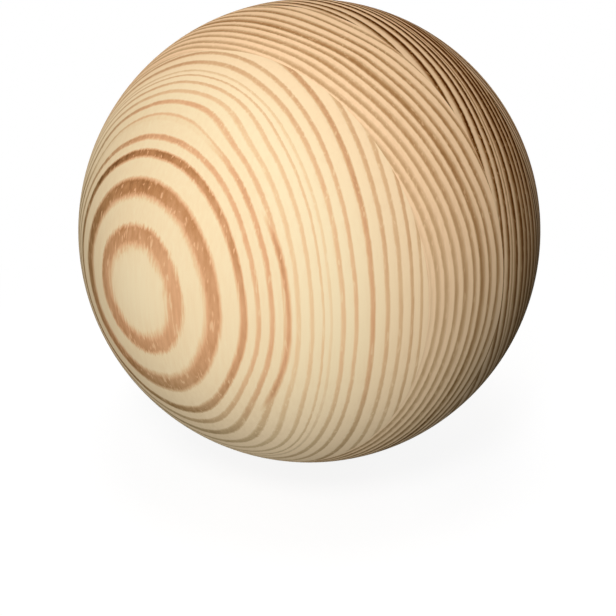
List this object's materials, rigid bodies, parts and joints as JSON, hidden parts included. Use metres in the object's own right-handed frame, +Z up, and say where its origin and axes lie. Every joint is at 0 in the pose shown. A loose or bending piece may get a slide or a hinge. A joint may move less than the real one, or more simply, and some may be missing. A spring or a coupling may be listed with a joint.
{
  "type": "wooden ball",
  "caption": "Solid turned pine ball with a smooth sanded skin, made from a glued-up blank, for craft work, finials and display.",
  "frame": {"origin": "centre of the ball", "axes": "+Z up, along the grain; +Y through the stack of glued boards; +X across the boards"},
  "size_m": [0.14, 0.14, 0.14],
  "materials": {
    "pine": "sanded smooth and left bare, pale earlywood with orange-brown growth rings"
  },
  "bodies": {
    "root": {"ball": "pine"}
  },
  "joints": []
}
